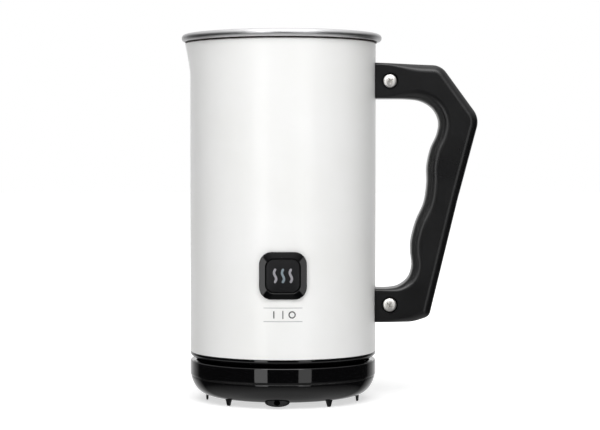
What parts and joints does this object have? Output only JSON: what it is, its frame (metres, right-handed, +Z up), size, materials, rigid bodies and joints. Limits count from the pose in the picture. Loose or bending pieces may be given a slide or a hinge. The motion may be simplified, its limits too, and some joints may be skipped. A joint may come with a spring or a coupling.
{
  "type": "milk frother",
  "caption": "Heated milk frother jug with side handle, push button, magnetic whisk and recessed lid, standing on a cordless power base.",
  "frame": {"origin": "point of the worktop under the jug's axis, at the underside of the base's centre pad", "axes": "+Z up along the jug's axis, +X towards the handle, -Y the front, with the button and the cord gland"},
  "size_m": [0.1607, 0.1074, 0.1987],
  "materials": {
    "white_enamel": "smooth white paint, satin gloss",
    "polished_steel": "polished stainless steel",
    "plain_steel": "plain pressed steel",
    "cast_aluminium": "as cast",
    "zinc_screws": "zinc plated",
    "polished_screws": "polished stainless steel",
    "handle_black": "fine satin moulding",
    "black_gloss_plastic": "high gloss moulding",
    "black_plastic": "matt moulding",
    "button_black": "fine matt moulding",
    "grey_print": "translucent grey moulding",
    "black_rubber": "matt",
    "dark_gasket": "matt silicone",
    "clear_silicone": "translucent silicone",
    "nonstick_coating": "speckled non-stick coating",
    "brass_contacts": "bright",
    "magnet_nickel": "nickel plated",
    "cream_plastic": "natural nylon",
    "board_green": "lacquered board",
    "clear_lamp": "clear epoxy",
    "clear_lid": "clear plastic"
  },
  "bodies": {
    "base": {"base_bottom": "black_gloss_plastic", "base_top_cover": "black_gloss_plastic", "base_pad": "black_rubber", "base_screws": "zinc_screws", "cord_gland": "black_rubber", "plug_body": "black_plastic", "plug_contacts": "brass_contacts"},
    "jug": {"jug_foot": "black_plastic", "foot_screws": "zinc_screws", "foot_tabs": "plain_steel", "socket_body": "black_plastic", "socket_contacts": "brass_contacts", "outer_shell": "white_enamel", "rim_gasket": "dark_gasket", "rim_ring": "polished_steel", "inner_pot": "nonstick_coating", "pot_pivot": "polished_steel", "pot_studs": "plain_steel", "heater_plate": "cast_aluminium", "heater_element": "cast_aluminium", "thermostats": "black_plastic", "spacers": "plain_steel", "motor_bracket": "plain_steel", "bracket_nuts": "zinc_screws", "motor_body": "plain_steel", "main_board": "board_green", "board_parts": "cream_plastic", "button_bezel": "black_gloss_plastic", "button_board": "board_green", "board_screws": "zinc_screws", "switch_body": "black_plastic", "indicator_lamps": "clear_lamp", "handle": "handle_black", "upper_lug": "plain_steel", "lower_lug": "plain_steel", "handle_screws": "polished_screws", "handle_nuts": "zinc_screws"},
    "button": {"button_cap": "button_black", "button_marks": "grey_print", "switch_plunger": "cream_plastic"},
    "rotor": {"motor_shaft": "polished_steel", "magnet_carrier": "cream_plastic", "drive_magnets": "magnet_nickel"},
    "whisk": {"whisk_frame": "black_plastic", "whisk_coil": "polished_steel", "whisk_magnets": "magnet_nickel"},
    "lid": {"lid": "clear_lid", "lid_knob": "black_gloss_plastic", "lid_seal": "clear_silicone"}
  },
  "joints": [
    {"name": "lift_off", "type": "slide", "parent": "base", "child": "jug", "axis": [0, 0, 1], "range_m": [0, 0.06]},
    {"name": "lid_lift", "type": "slide", "parent": "jug", "child": "lid", "axis": [0, 0, 1], "range_m": [0, 0.05]},
    {"name": "button_press", "type": "slide", "parent": "jug", "child": "button", "axis": [0, 1, 0], "range_m": [0, 0.0009], "stiffness_N_per_m": 1500},
    {"name": "motor_spin", "type": "hinge", "parent": "jug", "child": "rotor", "pos_m": [0, 0, 0.09], "axis": [0, 0, 1], "continuous": true},
    {"name": "whisk_spin", "type": "hinge", "parent": "jug", "child": "whisk", "pos_m": [0, 0, 0.1], "axis": [0, 0, 1], "continuous": true}
  ],
  "couplings": [
    {"joint": "whisk_spin", "follows": "motor_spin", "ratio": 1}
  ]
}
